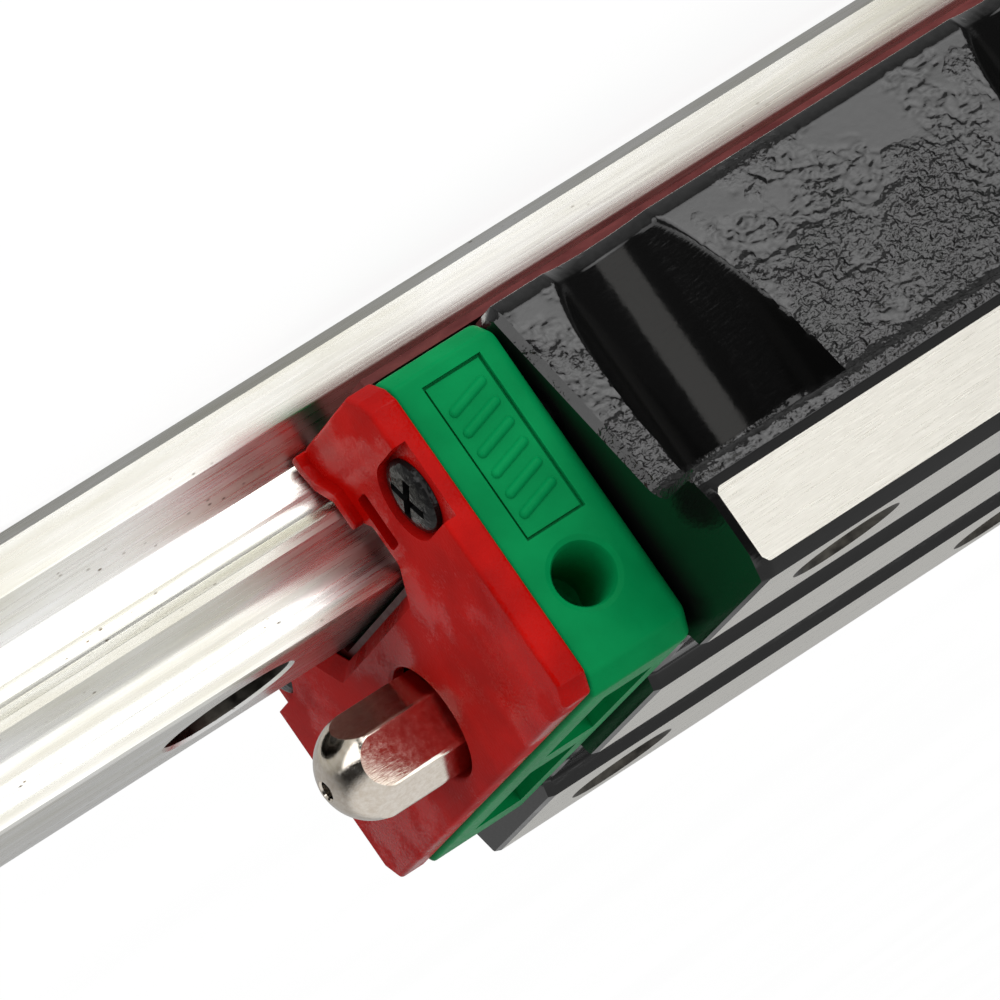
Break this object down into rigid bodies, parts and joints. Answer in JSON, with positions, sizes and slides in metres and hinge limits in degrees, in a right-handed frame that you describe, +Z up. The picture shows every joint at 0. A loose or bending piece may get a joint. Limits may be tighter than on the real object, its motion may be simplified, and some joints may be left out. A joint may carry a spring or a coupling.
{
  "type": "linear guide carriage",
  "caption": "Low flange-type recirculating-ball carriage that slides on a short profiled rail section, with end caps, wiping seals and a grease nipple.",
  "frame": {"origin": "middle of the rail section's underside, which is also the middle of the bounding box's bottom face", "axes": "+X along the rail towards the carriage's grease nipple, +Y across, +Z up from the rail's underside to the carriage's table face"},
  "size_m": [0.1, 0.052, 0.024],
  "materials": {
    "ground_steel": "ground and polished along the rail",
    "black_paint": "glossy black paint over forged skin, bare ground steel on the side and top lands",
    "green_plastic": "moulded, satin to glossy",
    "red_seal": "glossy with fine orange peel",
    "seal_rubber": "smooth nitrile rubber",
    "retainer_plastic": "natural moulded acetal",
    "black_screw": "black oxide",
    "ball_steel": "lapped bearing steel",
    "nickel": "bright nickel plate",
    "spring_steel": "drawn wire"
  },
  "bodies": {
    "rail": {"rail": "ground_steel"},
    "carriage": {"block": "black_paint", "ball_retainer_top": "retainer_plastic", "ball_retainer_left": "retainer_plastic", "ball_retainer_right": "retainer_plastic", "end_cap_front": "green_plastic", "end_cap_rear": "green_plastic", "end_seal_front": "red_seal", "end_seal_rear": "red_seal", "seal_lip_front": "seal_rubber", "seal_lip_rear": "seal_rubber", "bottom_seal_left": "red_seal", "bottom_seal_right": "red_seal", "cap_screw_front_left": "black_screw", "cap_screw_front_right": "black_screw", "cap_screw_rear_left": "black_screw", "cap_screw_rear_right": "black_screw", "return_guide_front_left": "retainer_plastic", "return_guide_front_right": "retainer_plastic", "return_guide_rear_left": "retainer_plastic", "return_guide_rear_right": "retainer_plastic", "balls_upper_left": "ball_steel", "balls_upper_right": "ball_steel", "balls_lower_left": "ball_steel", "balls_lower_right": "ball_steel", "grease_nipple": "nickel", "nipple_spring": "spring_steel", "rear_grease_plug": "black_screw"},
    "check_ball": {"nipple_check_ball": "ball_steel"}
  },
  "joints": [
    {"name": "carriage_slide", "type": "slide", "parent": "rail", "child": "carriage", "axis": [1, 0, 0], "range_m": [-0.0149, 0.0283]},
    {"name": "check_ball_travel", "type": "slide", "parent": "carriage", "child": "check_ball", "axis": [-1, 0, 0], "range_m": [0, 0.0004], "stiffness_N_per_m": 200}
  ]
}
